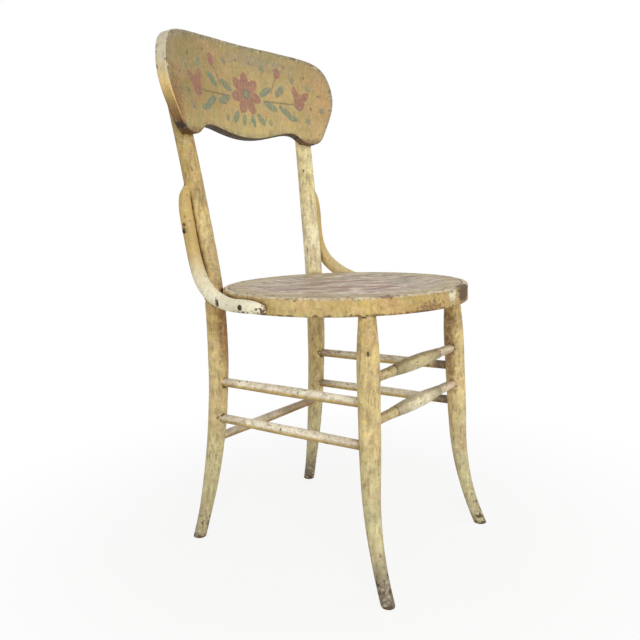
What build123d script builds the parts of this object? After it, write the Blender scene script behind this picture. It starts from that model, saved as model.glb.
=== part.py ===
from build123d import *
import os
from math import asin, cos, hypot, radians, sin, sqrt, tan

# A side chair with a round veneered seat on a bent ring, bent rear posts that run on as the rear legs,
# curved front legs, seven turned stretchers, two bent hip braces and a broad shaped crest rail.
#
# Lengths are millimetres and angles are degrees. The chair faces -Y, so the sitter's left is +X.
# Everything is drawn about the middle of the seat, on the sitter's left where it comes in pairs, and
# mirrored. At the end the chair is moved along Y so that the middle of its outline is the origin.

# ---- Fits ----
FIT = 0.1  # gap all round between a piece and the seat, socket or hole that holds it
SOCKET_RELIEF = 0.5  # air left past the end of a tenon or a screw

# ---- Seat ----
SEAT_HEIGHT = 450.0  # floor to the top of the ring and the flat border of the panel
SEAT_DIAMETER = 410.0  # outside of the bent ring
RING_DEPTH = 27.6
RING_WIDTH = 34.0
RING_LIP = 11.0  # width of ring that shows round the panel
RING_TOP_ROUNDING = 4.0
RING_BOTTOM_ROUNDING = 2.0
PANEL_THICKNESS = 4.0
DISH_DEPTH = 4.0
DISH_DIAMETER = 318.0  # where the flat border turns down
DISH_SLOPE_WIDTH = 22.0
DISH_BEND_RADIUS = 40.0

# ---- Front legs. Stations are shares of the leg's height, with the diameter there ----
FRONT_LEG_ANGLE = 45.8  # from -Y round to the leg, seen from above
FRONT_LEG_INSET = 14.6  # leg axis inside the ring's outer face
FRONT_RAKE = 2.95
FRONT_RAKE_HEADING = 52.0  # from -Y
FRONT_BEND_HEIGHT = 175.0  # the foot sweeps out below this
FRONT_BEND_RADIUS = 480.0
FRONT_BEND_HEADING = 17.0  # from -Y
FRONT_LEG_STATIONS = ((0.07, 20.9), (0.19, 22.8), (0.28, 25.4), (0.36, 28.0), (0.46, 31.2), (0.6, 33.2),
                      (0.78, 34.4), (0.88, 32.8), (0.95, 28.8))
FRONT_FOOT_DIAMETER = 19.8
FRONT_LEG_TOP_DIAMETER = 25.2
TENON_DIAMETER = 16.0
TENON_LENGTH = 14.0
FOOT_ROUNDING = 1.0

# ---- Rear legs and posts, one bent piece each side ----
POST_ANGLE = 39.4  # from +Y round to the post, seen from above
POST_SEAT_DIAMETER = 33.2
POST_SADDLE = 2.6  # depth of the hollow that takes the ring
REAR_BEND_HEIGHT = 360.0  # the foot sweeps out below this
REAR_BEND_RADIUS = 1240.0
REAR_BEND_HEADING = 25.0  # from +Y
REAR_LEG_STATIONS = ((0.08, 22.0), (0.17, 24.2), (0.26, 27.0), (0.35, 29.0), (0.46, 31.2), (0.6, 32.8),
                     (0.74, 34.2), (0.9, 34.2))
REAR_FOOT_DIAMETER = 20.4
POST_LEAN = 6.35
POST_HEADING = 30.0  # from +Y
POST_BEND_RADIUS = 4900.0
POST_BEND_LENGTH = 265.0  # above this much of bend the post is straight
POST_STATIONS = ((0.24, 32.5), (0.45, 31.5), (0.65, 30.4), (0.85, 29.4))  # shares of the post
POST_TOP_DIAMETER = 28.6
POST_TOP_ROUNDING = 5.0
POST_TOP_BELOW_RAIL = 27.0  # under the rail's highest point

# ---- Crest rail ----
RAIL_MIDDLE_RISE = 300.0  # seat to the level where the rail's outline is measured from
RAIL_LEAN = 6.9
RAIL_FACE_RADIUS = 580.0  # hollow front face
RAIL_THICKNESS = 19.0
RAIL_NOTCH = 6.0  # depth that the rail is let into each post at its middle
NOTCH_FIT = 0.15  # gap all round the rail in its notches
RAIL_EDGE_ROUNDING = 3.0
RAIL_TOP = 121.8  # above the middle level, on the centre line
RAIL_BOTTOM = -45.8
RAIL_OUTLINE = ((-114.0, -41.8), (-81.0, -35.4), (-59.0, -32.2), (-39.0, -34.8), (-20.0, -47.0),
                (1.0, -51.2), (20.5, -45.5), (35.5, -26.0), (50.0, 0.0), (61.0, 30.0), (58.0, 68.0),
                (44.0, 94.0), (9.0, 111.0), (-59.0, 119.2))  # outward from the post, up from the level

# ---- Hip braces ----
BRACE_UPPER = ((162.0, 14.5, 6.5), (145.0, 20.0, 2.2), (119.0, 22.0, 0.9),
               (75.0, 22.0, 0.9))  # rise, diameter, depth of the hollow that fits the post
BRACE_KNEE = ((44.1, 38.4, 47.0, 23.0), (35.8, 24.5, 14.5, 23.6))  # angle from +X, outward, rise, diameter
BRACE_RUN = ((24.5, 21.6), (13.0, 20.6), (4.0, 18.6))  # angle from +X, diameter
BRACE_TIP = (-0.8, 9.0)
BRACE_TIP_DROP = 2.5
BRACE_DOME = 11.0  # height of the rounded top
BRACE_HEADING = 9.0  # from +X round to the brace, seen from the post
BRACE_RING_COPE = 1.2  # depth of the hollow where it lies on the ring

# ---- Stretchers. Heights are from the floor to the centre line ----
SIDE_UPPER_HEIGHT = 287.5  # at the rear leg
SIDE_LOWER_HEIGHT = 223.3
SIDE_RISE = 5.8  # the front end is this much higher
FRONT_UPPER_HEIGHT = 328.0
FRONT_LOWER_HEIGHT = 263.6
REAR_HEIGHT = 185.8
STRETCHER_END_DIAMETER = 15.0
STRETCHER_SWELL_DIAMETER = 16.6
SOCKET_DEPTH = 13.0  # in the leg, along the stretcher
BOBBIN_LENGTH = 143.0
BOBBIN_END_DIAMETER = 17.0
BOBBIN_DIAMETER = 23.2
BEAD_WIDTH = 4.0
BEAD_DIAMETER = 17.6
NECK_DIAMETER = 16.2  # where the plain end meets the bead

# ---- Fasteners ----
SCREW_SHANK = 4.6
SCREW_HEAD = 9.0
SCREW_HEAD_HEIGHT = 3.0
SCREW_SLOT = 1.1
SCREW_SEAT = 1.0  # depth of the flat that is cut for a head
SCREW_BITE = 15.0  # length of screw in the second piece
CREST_SCREW_BITE = 12.0
BRACE_SCREW_ANGLES = (26.8, 9.1)  # from +X
BRACE_SCREW_RISE = 96.0  # seat to the screw in the post
CREST_SCREW_RISES = (5.0, 62.0)  # above the rail's middle level
BOLT_DIAMETER = 6.0
BOLT_HEAD = 15.0
BOLT_HEAD_HEIGHT = 3.6
BOLT_SEAT = 1.5
BOLT_END = 2.0  # thread showing past the nut
NUT_WIDTH = 10.0
NUT_THICKNESS = 5.0
WASHER_DIAMETER = 17.0
WASHER_THICKNESS = 1.4
WASHER_SEAT = 0.6  # depth of the flat in the ring's hollow side
BRAD_COUNT = 20
BRAD_LENGTH = 11.0
BRAD_DIAMETER = 1.5
BRAD_HEAD = 3.4
BRAD_HEAD_THICKNESS = 0.9
BRAD_EDGE_DISTANCE = 5.5

# ---- Levels and radii that follow ----
seat_radius = SEAT_DIAMETER / 2
ring_inner_radius = seat_radius - RING_WIDTH
ring_bottom = SEAT_HEIGHT - RING_DEPTH
panel_radius = seat_radius - RING_LIP
panel_bottom = SEAT_HEIGHT - PANEL_THICKNESS
ring_middle = (ring_bottom + panel_bottom) / 2
front_leg_radius = seat_radius - FRONT_LEG_INSET
post_radius = seat_radius + POST_SEAT_DIAMETER / 2 - POST_SADDLE
rail_middle = SEAT_HEIGHT + RAIL_MIDDLE_RISE
post_top = rail_middle + RAIL_TOP - POST_TOP_BELOW_RAIL

# ---- Drawing aids ----
FLOOR_WASTE = 12.0  # legs are drawn this far through the floor and sawn off level
BEYOND = 4 * SEAT_DIAMETER  # more than reaches across any piece
LOW = (Align.CENTER, Align.CENTER, Align.MIN)
HIGH = (Align.CENTER, Align.CENTER, Align.MAX)


# ---- Shapes that several pieces share ----
def polar(radius, angle, height=0.0):
    """A point at an angle counted from +X towards +Y."""
    return Vector(radius * cos(radians(angle)), radius * sin(radians(angle)), height)


def bow(run, radius):
    """Sideways travel of an arc that has gone on for a run from its tangent point."""
    run = max(run, 0.0)
    return radius - sqrt(radius * radius - run * run)


def bent_bar(centres, headings, diameters, grow=0.0):
    """A round bar lofted through circles that are square to its centre line."""
    rings = []
    for centre, heading, diameter in zip(centres, headings, diameters):
        rings.append(Plane(origin=centre, x_dir=(1, 0, 0), z_dir=heading) * Circle(diameter / 2 + grow))
    return loft(rings)


def leg_bar(axis, stations, grow=0.0):
    """A bar through heights and diameters, on a centre line that is known at each height."""
    heights = [height for height, _ in stations]
    headings = [axis(height + 1) - axis(height - 1) for height in heights]
    return bent_bar([axis(height) for height in heights], headings, [size for _, size in stations], grow)


def diameter_at(stations, height):
    """A bar's diameter between its stations."""
    for (low, before), (high, after) in zip(stations, stations[1:]):
        if low <= height <= high:
            return before + (after - before) * (height - low) / (high - low)
    return stations[-1][1]


def turned(*edges):
    """A turning about Z from the edges of its half section, drawn as radius and height."""
    return revolve(Plane.XZ * make_face(edges), Axis.Z)


def mirrored(piece):
    return mirror(piece, about=Plane.YZ)


def sawn_level(leg):
    """A leg without what is below the floor, with the edge of its foot eased."""
    leg -= Box(BEYOND, BEYOND, BEYOND, align=HIGH)
    return fillet(leg.faces().sort_by(Axis.Z)[0].edges(), FOOT_ROUNDING)


# ---- Fasteners, drawn with the underside of the head on z = 0 and the shank down ----
def round_head(diameter, height):
    ball = (diameter ** 2 / 4 + height ** 2) / (2 * height)
    return Pos(0, 0, height - ball) * Sphere(ball) & Cylinder(diameter, height, align=LOW)


def shank(diameter, length, point):
    """A plain shank that ends in a blunt point."""
    body = Cylinder(diameter / 2, length - point, align=HIGH)
    tip = Cone(diameter / 2, diameter / 10, point, align=LOW, rotation=(180, 0, 0))
    return body + Pos(0, 0, point - length) * tip


def wood_screw(length):
    slot = Pos(0, 0, SCREW_HEAD_HEIGHT) * Box(2 * SCREW_HEAD, SCREW_SLOT, SCREW_HEAD_HEIGHT)
    return round_head(SCREW_HEAD, SCREW_HEAD_HEIGHT) - slot + shank(SCREW_SHANK, length, SCREW_SHANK)


def drilling(head, shank_diameter, length, seat):
    """What is cut for a fastener: its shank's hole, and a round flat under its head."""
    bore = Cylinder(shank_diameter / 2 + FIT, length + SOCKET_RELIEF, align=HIGH)
    return bore + Cylinder(head / 2 + 2 * seat, 4 * seat, align=LOW)


def facing(point, outward):
    """The place of a fastener whose head looks outward."""
    return Plane(origin=point, z_dir=outward).location


# ---- Front legs ----
def front_axis(height):
    raked = polar((ring_bottom - height) * tan(radians(FRONT_RAKE)), FRONT_RAKE_HEADING - 90)
    swept = polar(bow(FRONT_BEND_HEIGHT - height, FRONT_BEND_RADIUS), FRONT_BEND_HEADING - 90)
    return polar(front_leg_radius, FRONT_LEG_ANGLE - 90, height) + raked + swept


front_stations = [(-FLOOR_WASTE, FRONT_FOOT_DIAMETER)]
front_stations += [(ring_bottom * share, diameter) for share, diameter in FRONT_LEG_STATIONS]
front_stations += [(ring_bottom, FRONT_LEG_TOP_DIAMETER)]


def front_leg():
    leg = leg_bar(front_axis, front_stations[:-1] + [(ring_bottom + FLOOR_WASTE, FRONT_LEG_TOP_DIAMETER)])
    leg -= Pos(0, 0, ring_bottom) * Box(BEYOND, BEYOND, BEYOND, align=LOW)
    tenon = Cylinder(TENON_DIAMETER / 2, TENON_LENGTH, align=LOW)
    return sawn_level(leg) + Pos(*front_axis(ring_bottom)) * tenon


# ---- Rear legs and posts ----
def post_axis(height):
    rise = height - ring_bottom
    if rise < 0:
        thrown = polar(bow(REAR_BEND_HEIGHT - height, REAR_BEND_RADIUS), 90 - REAR_BEND_HEADING)
    else:
        bent = min(rise, POST_BEND_LENGTH)
        steepness = bent / sqrt(POST_BEND_RADIUS ** 2 - bent ** 2)
        travel = rise * tan(radians(POST_LEAN)) + bow(bent, POST_BEND_RADIUS) + (rise - bent) * steepness
        thrown = polar(travel, 90 - POST_HEADING)
    return polar(post_radius, 90 - POST_ANGLE, height) + thrown


post_stations = [(-FLOOR_WASTE, REAR_FOOT_DIAMETER)]
post_stations += [(ring_bottom * share, diameter) for share, diameter in REAR_LEG_STATIONS]
post_stations += [(SEAT_HEIGHT, POST_SEAT_DIAMETER)]
post_rise = post_top - SEAT_HEIGHT
post_stations += [(SEAT_HEIGHT + post_rise * share, diameter) for share, diameter in POST_STATIONS]
post_stations += [(post_top, POST_TOP_DIAMETER)]


def post_stock(grow=0.0):
    return leg_bar(post_axis, post_stations, grow)


def rear_post():
    post = post_stock()
    post = fillet(post.edges().sort_by(Axis.Z)[-1], POST_TOP_ROUNDING)
    saddle = Pos(0, 0, ring_bottom - FIT) * Cylinder(seat_radius + FIT, RING_DEPTH + 2 * FIT, align=LOW)
    return sawn_level(post) - saddle - rail_place * rail_stock(NOTCH_FIT)


# ---- Crest rail, drawn with its front face through the origin, its back towards +Y ----
rail_post = post_axis(rail_middle)
rail_post_reach = diameter_at(post_stations, rail_middle) / 2
rail_back_radius = RAIL_FACE_RADIUS + RAIL_THICKNESS
rail_bend_at_post = rail_back_radius - sqrt(rail_back_radius ** 2 - rail_post.X ** 2)
rail_face = rail_post.Y - rail_post_reach + RAIL_NOTCH + rail_bend_at_post - RAIL_THICKNESS
lean = radians(RAIL_LEAN)
rail_plane = Plane(origin=(0, rail_face, rail_middle), x_dir=(1, 0, 0), z_dir=(0, sin(lean), cos(lean)))
rail_place = rail_plane.location


def rail_outline(grow):
    """The outline's points on one side of the centre line, from bottom to top, as angle and height."""
    post_angle = asin(rail_post.X / rail_back_radius)
    drawn = [(0.0, RAIL_BOTTOM)]
    drawn += [(post_angle * RAIL_FACE_RADIUS + outward, height) for outward, height in RAIL_OUTLINE]
    drawn += [(0.0, RAIL_TOP)]
    before = [(-drawn[1][0], drawn[1][1])] + drawn[:-1]
    after = drawn[1:] + [(-drawn[-2][0], drawn[-2][1])]
    points = []
    for (x, height), (x0, low), (x1, high) in zip(drawn, before, after):
        slope = hypot(x1 - x0, high - low)
        x_grown = x + grow * (high - low) / slope
        points.append((x_grown / RAIL_FACE_RADIUS, height - grow * (x1 - x0) / slope))
    return points


def rail_section(reach, grow):
    """Half of the outline, where rays from the hollow's axis have gone a distance back."""
    depth = reach - RAIL_FACE_RADIUS
    points = [Vector(reach * tan(angle), depth, height) for angle, height in rail_outline(grow)]
    edge = Spline(points, tangents=((1, 0, 0), (-1, 0, 0))).edge()
    return Face(Wire([edge, Edge.make_line(points[-1], points[0])]))


def rail_stock(grow=0.0):
    """The curved board, cut out of a tube by its outline as seen along rays from the hollow's axis."""
    sections = [rail_section(RAIL_FACE_RADIUS * 0.88, grow), rail_section(rail_back_radius * 1.03, grow)]
    half = loft(sections, ruled=True)
    hollow = Pos(0, -RAIL_FACE_RADIUS, 0)
    half &= hollow * Cylinder(rail_back_radius + grow, BEYOND)
    half -= hollow * Cylinder(RAIL_FACE_RADIUS, BEYOND)
    return half + mirrored(half)


def crest_screw_places():
    """Each screw's place and length. It runs square to the rail, through the middle of the post."""
    hollow = Vector(0, -RAIL_FACE_RADIUS, 0)
    places = []
    for rise in CREST_SCREW_RISES:
        level = rail_middle + rise * cos(lean)
        centre = rail_plane.to_local_coords(post_axis(level)) - hollow
        across = Vector(centre.X, centre.Y, 0)
        outward = across.normalized()
        head = across.length + diameter_at(post_stations, level) / 2 - SCREW_SEAT
        at = hollow + outward * head + Vector(0, 0, centre.Z)
        places.append((rail_place * facing(at, outward), head - rail_back_radius + CREST_SCREW_BITE))
    return places


def crest_rail():
    board = rail_stock()
    board = fillet(board.faces().filter_by(GeomType.CYLINDER).edges(), RAIL_EDGE_ROUNDING)
    return rail_place * board


# ---- Hip braces, drawn from the top, down beside the post, round the knee and along the ring ----
def beside_post(rise, diameter, cope):
    """The middle of a brace of some diameter that is hollowed to lie on the post, at a rise above the seat."""
    level = SEAT_HEIGHT + rise
    offset = diameter_at(post_stations, level) / 2 + diameter / 2 - cope
    return post_axis(level) + polar(offset, BRACE_HEADING)


def on_ring(angle, diameter, drop=0.0):
    """The middle of a brace of some diameter that lies on the ring."""
    return polar(seat_radius + diameter / 2 - BRACE_RING_COPE, angle, ring_middle - drop)


def brace_stations():
    stations = [(beside_post(*station), station[1]) for station in BRACE_UPPER]
    for angle, outward, rise, diameter in BRACE_KNEE:
        stations.append((polar(seat_radius + outward, angle, ring_middle + rise), diameter))
    stations += [(on_ring(angle, diameter), diameter) for angle, diameter in BRACE_RUN]
    return stations + [(on_ring(*BRACE_TIP, drop=BRACE_TIP_DROP), BRACE_TIP[1])]


def hip_brace():
    centres = [centre for centre, _ in brace_stations()]
    line = Spline(centres, tangents=[centres[1] - centres[0], centres[-1] - centres[-2]]).edge()
    headings = [line.tangent_at(line.param_at_point(centre)) for centre in centres]
    bar = bent_bar(centres, headings, [diameter for _, diameter in brace_stations()])
    reach = BRACE_UPPER[0][1] / 2
    crown = (0, BRACE_DOME)
    shoulder = Spline((reach, 0), (0.7 * reach, 0.7 * BRACE_DOME), crown, tangents=((-0.2, 1), (-1, 0)))
    dome = turned(shoulder, Line(crown, (0, 0)), Line((0, 0), (reach, 0)))
    bar += Plane(origin=centres[0], z_dir=headings[0] * -1).location * dome
    ring_space = Pos(0, 0, ring_bottom - FIT) * Cylinder(seat_radius + FIT, RING_DEPTH + 2 * FIT, align=LOW)
    return bar - post_stock(FIT) - ring_space


def brace_seat_screw_places():
    head = seat_radius + BRACE_RUN[0][1] - BRACE_RING_COPE - SCREW_SEAT
    places = [facing(polar(head, angle, ring_middle), polar(1, angle)) for angle in BRACE_SCREW_ANGLES]
    return [(place, head - seat_radius + SCREW_BITE) for place in places]


def brace_post_screw_places():
    level = SEAT_HEIGHT + BRACE_SCREW_RISE
    *_, (_, thickness, cope) = BRACE_UPPER
    reach = diameter_at(post_stations, level) / 2
    head = reach + thickness - cope - SCREW_SEAT
    outward = polar(1, BRACE_HEADING)
    return [(facing(post_axis(level) + outward * head, outward), head - reach + SCREW_BITE)]


def wood_screws(places):
    return [place * wood_screw(length) for place, length in places]


def screw_drillings(places):
    return [place * drilling(SCREW_HEAD, SCREW_SHANK, length, SCREW_SEAT) for place, length in places]


# ---- Bolts that hold the posts to the ring, with the nut inside the ring ----
bolt_head_at = post_radius + POST_SEAT_DIAMETER / 2 - BOLT_SEAT
bolt_place = facing(polar(bolt_head_at, 90 - POST_ANGLE, ring_middle), polar(1, 90 - POST_ANGLE))
washer_face = bolt_head_at - ring_inner_radius - WASHER_SEAT  # distance along the bolt
nut_face = washer_face + WASHER_THICKNESS
bolt_length = nut_face + NUT_THICKNESS + BOLT_END


def post_bolt():
    rod = Cylinder(BOLT_DIAMETER / 2, bolt_length, align=HIGH)
    return bolt_place * (round_head(BOLT_HEAD, BOLT_HEAD_HEIGHT) + rod)


def bolt_washer():
    plate = Cylinder(WASHER_DIAMETER / 2, WASHER_THICKNESS, align=HIGH)
    bore = Cylinder(BOLT_DIAMETER / 2 + FIT, 3 * WASHER_THICKNESS)
    return bolt_place * Pos(0, 0, -washer_face) * (plate - bore)


def bolt_nut():
    block = extrude(RegularPolygon(NUT_WIDTH / 2, 6, major_radius=False), -NUT_THICKNESS)
    bore = Cylinder(BOLT_DIAMETER / 2 + FIT / 2, 3 * NUT_THICKNESS)
    return bolt_place * Pos(0, 0, -nut_face) * (block - bore)


def bolt_drilling():
    bore = drilling(BOLT_HEAD, BOLT_DIAMETER, bolt_length, BOLT_SEAT)
    washer_flat = Cylinder(WASHER_DIAMETER / 2 + FIT, 2 * RING_WIDTH / 3, align=HIGH)
    return bolt_place * (bore + Pos(0, 0, -washer_face) * washer_flat)


# ---- Stretchers ----
def stretcher_ends(axis_a, stations_a, height_a, axis_b, stations_b, height_b):
    """Where a stretcher stops inside each of its two legs, and the way it runs."""
    a, b = axis_a(height_a), axis_b(height_b)
    way = (b - a).normalized()
    start = a + way * (diameter_at(stations_a, height_a) / 2 - SOCKET_DEPTH)
    end = b - way * (diameter_at(stations_b, height_b) / 2 - SOCKET_DEPTH)
    return start, end


def mirrored_axis(axis):
    return lambda height: Vector(-axis(height).X, axis(height).Y, height)


right_front_axis = mirrored_axis(front_axis)
right_post_axis = mirrored_axis(post_axis)


def side_ends(height):
    return stretcher_ends(post_axis, post_stations, height, front_axis, front_stations, height + SIDE_RISE)


def front_ends(height):
    return stretcher_ends(right_front_axis, front_stations, height, front_axis, front_stations, height)


def rear_ends():
    return stretcher_ends(right_post_axis, post_stations, REAR_HEIGHT, post_axis, post_stations, REAR_HEIGHT)


def set_between(piece, ends):
    start, end = ends
    return Plane(origin=start, z_dir=end - start).location * piece


def sockets(ends):
    """What is bored for both ends of a stretcher."""
    bore = Cylinder(STRETCHER_END_DIAMETER / 2 + FIT, SOCKET_RELIEF + 2 * SOCKET_DEPTH, align=LOW)
    start, end = ends
    way = (end - start).normalized()
    bores = []
    for tip, inward in ((start, way), (end, way * -1)):
        bores.append(Plane(origin=tip - inward * SOCKET_RELIEF, z_dir=inward).location * bore)
    return bores


def plain_stretcher(ends):
    length = (ends[1] - ends[0]).length
    end, middle = STRETCHER_END_DIAMETER / 2, STRETCHER_SWELL_DIAMETER / 2
    straight = SOCKET_DEPTH + 2 * FIT
    swell = Spline((end, straight), (middle, length / 2), (end, length - straight),
                   tangents=((0, 1), (0, 1)))
    outline = [Line((end, length), (0, length)), Line((0, length), (0, 0)), Line((0, 0), (end, 0))]
    outline += [Line((end, 0), (end, straight)), swell, Line((end, length - straight), (end, length))]
    return set_between(turned(*outline), ends)


def turned_stretcher(ends):
    """Plain ends that swell to a neck, a bead at each shoulder and a long bobbin between."""
    length = (ends[1] - ends[0]).length
    end, neck, bead, shoulder = [diameter / 2 for diameter in (
        STRETCHER_END_DIAMETER, NECK_DIAMETER, BEAD_DIAMETER, BOBBIN_END_DIAMETER)]
    straight = SOCKET_DEPTH + 2 * FIT
    low = (length - BOBBIN_LENGTH) / 2
    high = low + BOBBIN_LENGTH
    quirk = BEAD_WIDTH / 4  # the narrow flat between bead and shoulder
    bobbin = Spline((shoulder, low), (BOBBIN_DIAMETER / 2, (low + high) / 2), (shoulder, high))
    outline = [Line((end, length), (0, length)), Line((0, length), (0, 0)), Line((0, 0), (end, 0))]
    for first, last, side in ((0, low, 1), (length, high, -1)):
        near, far = last - side * (quirk + BEAD_WIDTH), last - side * quirk
        outline.append(Line((end, first), (end, first + side * straight)))
        outline.append(Line((end, first + side * straight), (neck, near)))
        outline.append(ThreePointArc((neck, near), (bead, (near + far) / 2), (neck, far)))
        outline.append(Line((neck, far), (neck, last)))
        outline.append(Line((neck, last), (shoulder, last)))
    return set_between(turned(*outline, bobbin), ends)


# ---- Seat ----
def seat_ring():
    """The bent strip's section is a square with a rabbet for the panel in its upper inside corner."""
    rabbet = panel_radius + FIT
    corners = [(ring_inner_radius, ring_bottom), (seat_radius, ring_bottom), (seat_radius, SEAT_HEIGHT),
               (rabbet, SEAT_HEIGHT), (rabbet, panel_bottom), (ring_inner_radius, panel_bottom)]
    strip = make_face(Polyline(*corners, close=True))
    outside = strip.vertices().sort_by(Axis.X)[-2:].sort_by(Axis.Y)
    strip = fillet(outside[1], RING_TOP_ROUNDING)
    strip = fillet(strip.vertices().sort_by(Axis.Y)[:2], RING_BOTTOM_ROUNDING)
    return revolve(Plane.XZ * strip, Axis.Z)


def seat_panel():
    dish = DISH_DIAMETER / 2
    floor = dish - DISH_SLOPE_WIDTH
    top = [(0, -DISH_DEPTH), (floor, -DISH_DEPTH), (dish, 0), (panel_radius, 0)]
    under = [(x, y - PANEL_THICKNESS) for x, y in reversed(top)]
    section = make_face(Polyline(*top, *under, close=True))
    bends = [corner for corner in section.vertices() if floor - FIT < corner.X < dish + FIT]
    section = fillet(bends, DISH_BEND_RADIUS)
    return Pos(0, 0, SEAT_HEIGHT) * revolve(Plane.XZ * section, Axis.Z)


def brad_places():
    radius = panel_radius - BRAD_EDGE_DISTANCE
    return [Pos(*polar(radius, 360 * count / BRAD_COUNT - 90, SEAT_HEIGHT)) for count in range(BRAD_COUNT)]


def brad():
    head = Pos(0, 0, FIT) * Cylinder(BRAD_HEAD / 2, BRAD_HEAD_THICKNESS, align=HIGH)
    return head + shank(BRAD_DIAMETER, BRAD_LENGTH, BRAD_DIAMETER)


def brad_hole():
    head = Cylinder(BRAD_HEAD / 2 + FIT, 2 * BRAD_HEAD_THICKNESS)
    return head + Cylinder(BRAD_DIAMETER / 2 + FIT / 2, BRAD_LENGTH + SOCKET_RELIEF, align=HIGH)


# ---- Putting it together ----
def cut(piece, tools):
    for tool in tools:
        piece -= tool
    return piece


def both(name, piece):
    return {name + "_left": piece, name + "_right": mirrored(piece)}


def group(solids):
    return Compound(children=[solid for shape in solids for solid in shape.solids()])


def with_mirrors(solids):
    return solids + [mirrored(solid) for solid in solids]


def build_chair():
    side_upper, side_lower = side_ends(SIDE_UPPER_HEIGHT), side_ends(SIDE_LOWER_HEIGHT)
    front_upper, front_lower = front_ends(FRONT_UPPER_HEIGHT), front_ends(FRONT_LOWER_HEIGHT)
    rear = rear_ends()
    crest, ring_run, on_post = crest_screw_places(), brace_seat_screw_places(), brace_post_screw_places()
    mortise = Cylinder(TENON_DIAMETER / 2 + FIT, TENON_LENGTH + SOCKET_RELIEF, align=LOW)
    brads = brad_places()
    mortise = Pos(*front_axis(ring_bottom)) * mortise
    ring_cuts = with_mirrors([mortise, bolt_drilling()] + screw_drillings(ring_run))
    ring_cuts += [place * brad_hole() for place in brads]
    post_cuts = sockets(side_upper) + sockets(side_lower) + sockets(rear)
    post_cuts += screw_drillings(crest) + screw_drillings(on_post) + [bolt_drilling()]
    leg_cuts = sockets(side_upper) + sockets(side_lower) + sockets(front_upper) + sockets(front_lower)
    chair = {
        "seat_frame": cut(seat_ring(), ring_cuts),
        "seat_panel": cut(seat_panel(), [place * brad_hole() for place in brads]),
        "seat_brads": group([place * brad() for place in brads]),
        "crest_rail": cut(crest_rail(), with_mirrors(screw_drillings(crest))),
        "front_stretcher_upper": turned_stretcher(front_upper),
        "front_stretcher_lower": turned_stretcher(front_lower),
        "rear_stretcher": plain_stretcher(rear),
        "crest_screws": group(with_mirrors(wood_screws(crest))),
        "brace_seat_screws": group(with_mirrors(wood_screws(ring_run))),
        "brace_post_screws": group(with_mirrors(wood_screws(on_post))),
        "post_bolts": group(with_mirrors([post_bolt()])),
        "bolt_washers": group(with_mirrors([bolt_washer()])),
        "bolt_nuts": group(with_mirrors([bolt_nut()])),
    }
    chair.update(both("front_leg", cut(front_leg(), leg_cuts)))
    chair.update(both("rear_post", cut(rear_post(), post_cuts)))
    chair.update(both("hip_brace", cut(hip_brace(), screw_drillings(ring_run) + screw_drillings(on_post))))
    chair.update(both("side_stretcher_upper", plain_stretcher(side_upper)))
    chair.update(both("side_stretcher_lower", plain_stretcher(side_lower)))
    return chair


chair = build_chair()
outline = Compound(children=[solid for piece in chair.values() for solid in piece.solids()]).bounding_box()
middle = Pos(0, -(outline.min.Y + outline.max.Y) / 2, 0)
os.makedirs("parts", exist_ok=True)
for name, piece in chair.items():
    placed = middle * piece
    export_step(placed, os.path.join("parts", name + ".step"))
print("middle of the seat at y =", round(middle.position.Y, 2))
print("size", [round(length, 1) for length in outline.size])
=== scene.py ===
"""Paint, wear and studio for a side chair with a round seat, a broad stencilled crest rail and bent posts."""
from math import cos, radians, sin

import bpy
from bpy.props import FloatProperty, FloatVectorProperty, IntProperty, PointerProperty
from mathutils import Matrix, Vector


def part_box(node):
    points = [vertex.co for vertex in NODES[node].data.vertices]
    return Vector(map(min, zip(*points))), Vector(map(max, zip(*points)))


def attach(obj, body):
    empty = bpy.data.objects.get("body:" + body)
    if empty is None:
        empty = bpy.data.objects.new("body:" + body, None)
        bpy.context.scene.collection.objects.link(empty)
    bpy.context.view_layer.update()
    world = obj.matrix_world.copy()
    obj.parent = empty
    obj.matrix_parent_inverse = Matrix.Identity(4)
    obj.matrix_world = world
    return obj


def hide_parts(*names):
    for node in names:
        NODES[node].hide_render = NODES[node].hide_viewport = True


bl_info = {
    "name": "Stencilled Side Chair",
    "version": (1, 0, 0),
    "blender": (4, 5, 0),
    "location": "View3D > Sidebar > Side Chair",
    "description": "Dresses the chair's solids in aged paint and sets up a studio round it",
    "category": "Object",
}

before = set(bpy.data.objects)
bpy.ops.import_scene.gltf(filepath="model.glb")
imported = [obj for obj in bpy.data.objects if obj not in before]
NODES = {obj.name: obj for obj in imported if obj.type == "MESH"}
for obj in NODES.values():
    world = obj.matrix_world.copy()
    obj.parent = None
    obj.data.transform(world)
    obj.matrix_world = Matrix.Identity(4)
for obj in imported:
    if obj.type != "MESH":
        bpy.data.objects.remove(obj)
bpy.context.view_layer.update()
RING_LOW, RING_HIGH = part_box("seat_frame")
SEAT_MIDDLE = (RING_LOW + RING_HIGH) / 2
RAIL_LOW, RAIL_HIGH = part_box("crest_rail")


def colour(hex_value):
    """The linear colour that shaders take, from an sRGB hex value such as "#c8ae72"."""
    parts = [int(hex_value[start:start + 2], 16) / 255 for start in (1, 3, 5)]
    return [part / 12.92 if part <= 0.04045 else ((part + 0.055) / 1.055) ** 2.4 for part in parts] + [1.0]


def add(tree, kind, sockets=None, out=0, **settings):
    """Adds a node with its settings and gives one of its outputs.

    A socket takes a value, or another node's output to link from.
    """
    node = tree.nodes.new(kind)
    for name, value in settings.items():
        setattr(node, name, value)
    for socket, value in (sockets or {}).items():
        if isinstance(value, bpy.types.NodeSocket):
            tree.links.new(value, node.inputs[socket])
        else:
            node.inputs[socket].default_value = value
    return node.outputs[out] if len(node.outputs) else node


# ---- Settings that a user would change ----
def swatch(name, description, hex_value):
    return FloatVectorProperty(name=name, description=description, subtype="COLOR", size=4, min=0, max=1,
                               default=colour(hex_value))


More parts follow.
